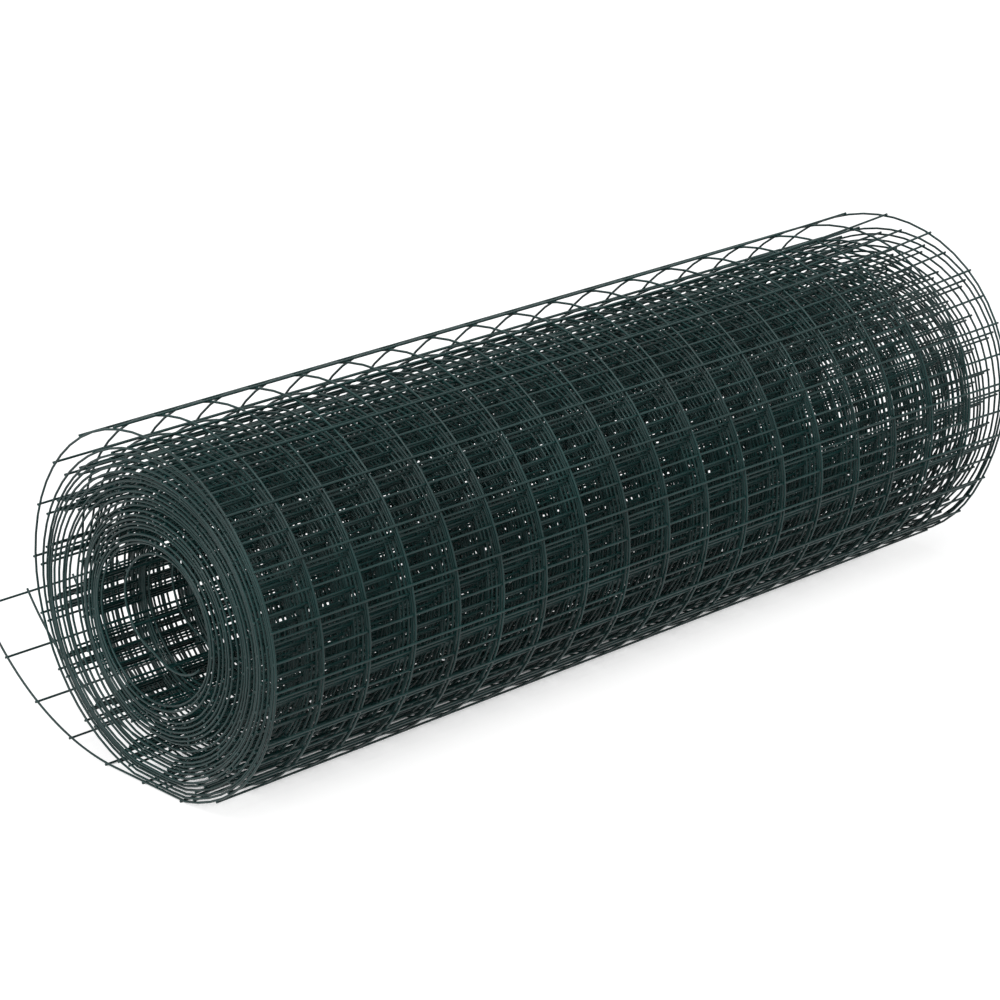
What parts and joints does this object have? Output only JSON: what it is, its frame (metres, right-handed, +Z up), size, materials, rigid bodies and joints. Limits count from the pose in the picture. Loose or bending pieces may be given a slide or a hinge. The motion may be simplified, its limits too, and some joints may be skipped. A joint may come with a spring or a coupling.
{
  "type": "roll of wire fencing",
  "caption": "Roll of dark green plastic-coated welded wire mesh fencing lying on its side, square mesh wound round an open bore, with its free end sprung off the roll.",
  "frame": {"origin": "middle of the bore's axis, half way along the roll", "axes": "+X along the bore's axis, from the end that shows its turns in the picture to the far end; +Z up; +Y to the side on which the free end stands off the roll"},
  "size_m": [0.9022, 0.3956, 0.3064],
  "materials": {
    "green_coated_wire": "satin"
  },
  "bodies": {
    "root": {"mesh_roll": "green_coated_wire"}
  },
  "joints": []
}
